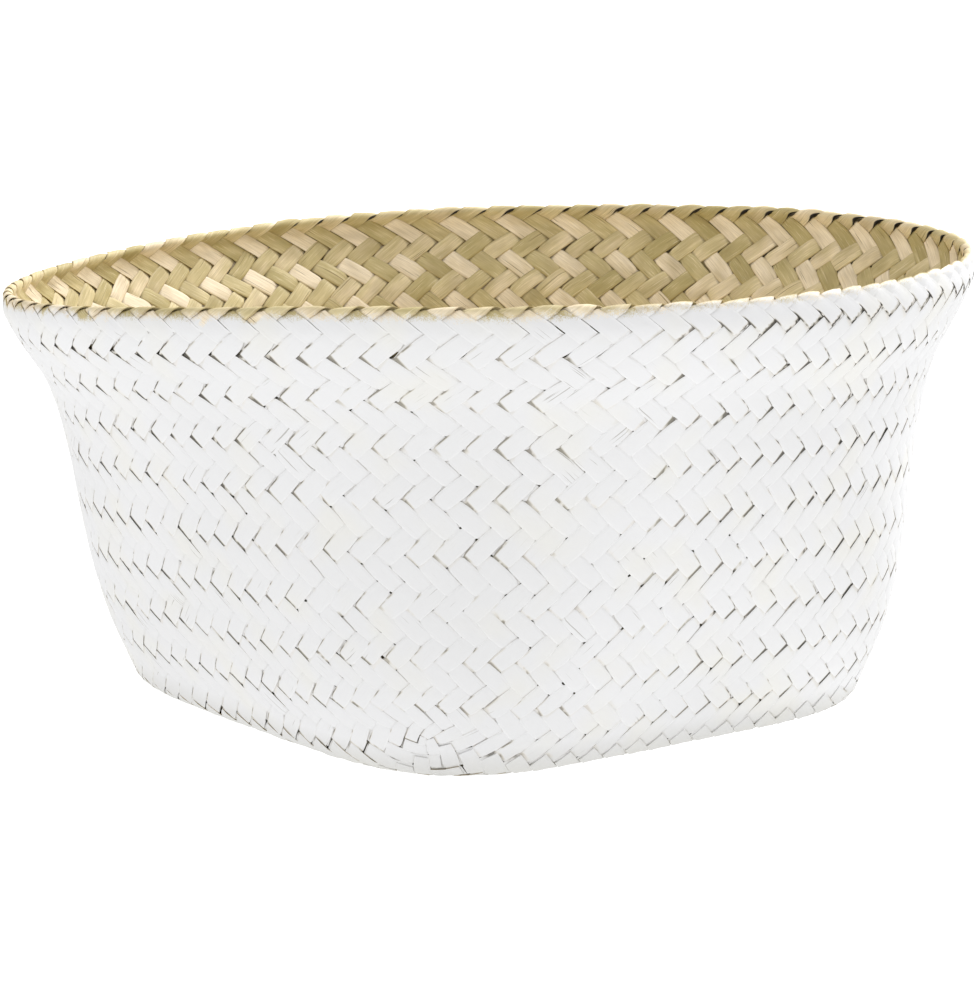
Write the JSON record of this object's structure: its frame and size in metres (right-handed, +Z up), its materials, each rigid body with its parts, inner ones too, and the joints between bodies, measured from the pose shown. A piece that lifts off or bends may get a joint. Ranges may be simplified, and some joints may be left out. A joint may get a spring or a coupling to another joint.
{
  "type": "plaited basket",
  "caption": "Low basket plaited from flat plant strips, with a square foot and a round flared mouth, painted white outside and natural inside, for storage or as a plant pot cover.",
  "frame": {"origin": "centre of the foot, on the surface that the basket stands on", "axes": "+Z up towards the mouth; X and Y square to the sides of the square foot; the picture's view shows the sides that face -X and -Y"},
  "size_m": [0.3368, 0.3239, 0.1665],
  "materials": {
    "painted_plait": "chalky white paint over plaited seagrass strips",
    "natural_plait": "dried seagrass strips, natural straw to olive colours",
    "rim_plait": "folded seagrass strips, bare on the crest and inside, painted white lower down outside"
  },
  "bodies": {
    "root": {"outer_wall": "painted_plait", "outer_bottom": "painted_plait", "inner_wall": "natural_plait", "inner_bottom": "natural_plait", "folded_rim": "rim_plait"}
  },
  "joints": []
}
